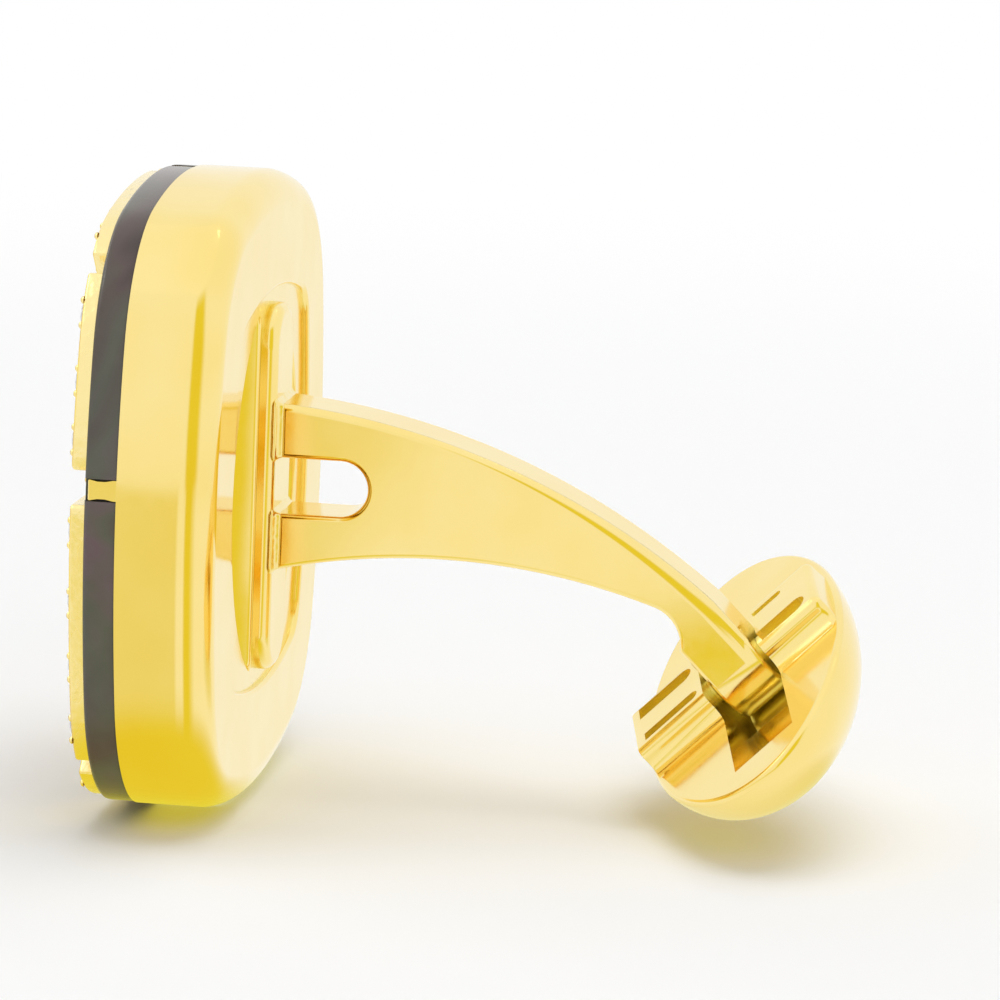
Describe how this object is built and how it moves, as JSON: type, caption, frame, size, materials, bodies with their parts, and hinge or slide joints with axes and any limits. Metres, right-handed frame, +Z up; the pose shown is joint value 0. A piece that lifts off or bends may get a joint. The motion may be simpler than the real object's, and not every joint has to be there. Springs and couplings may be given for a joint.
{
  "type": "cufflink",
  "caption": "Cushion-shaped cufflink: gold case, dark mother-of-pearl face with a stone-set meander border, curved post and swivel toggle that folds for the buttonhole.",
  "frame": {"origin": "centre of the case's flat back, in the plane that rests on the cuff", "axes": "+Y out of the back along the post, the face looks along -Y, +Z up, +X to the right seen from the front"},
  "size_m": [0.0158, 0.0187, 0.0158],
  "materials": {
    "polished_gold": "polished, gold plated",
    "bright_cut_gold": "hand finished, bright cut",
    "gold_solder": "as flowed",
    "black_mother_of_pearl": "polished, pearly",
    "round_stone": "faceted",
    "spring_steel": "rolled",
    "cement": "cured epoxy"
  },
  "bodies": {
    "link": {"case_cup": "polished_gold", "back_rail": "polished_gold", "seat_plate": "polished_gold", "post_arm": "polished_gold", "pegs_top": "polished_gold", "pegs_right": "polished_gold", "pegs_bottom": "polished_gold", "pegs_left": "polished_gold", "key_top": "bright_cut_gold", "key_right": "bright_cut_gold", "key_bottom": "bright_cut_gold", "key_left": "bright_cut_gold", "stones_outer_top": "round_stone", "stones_outer_right": "round_stone", "stones_outer_bottom": "round_stone", "stones_outer_left": "round_stone", "stones_inner_top": "round_stone", "stones_inner_right": "round_stone", "stones_inner_bottom": "round_stone", "stones_inner_left": "round_stone", "post_solder": "gold_solder", "pearl_slab": "black_mother_of_pearl", "adhesive_bed": "cement"},
    "toggle": {"toggle_shell": "polished_gold", "pivot_pin": "polished_gold", "leaf_spring": "spring_steel"}
  },
  "joints": [
    {"name": "toggle_swivel", "type": "hinge", "parent": "link", "child": "toggle", "pos_m": [0, 0.0121, -0.00385], "axis": [0, -0.7071, -0.7071], "range_deg": [-4, 86]}
  ]
}
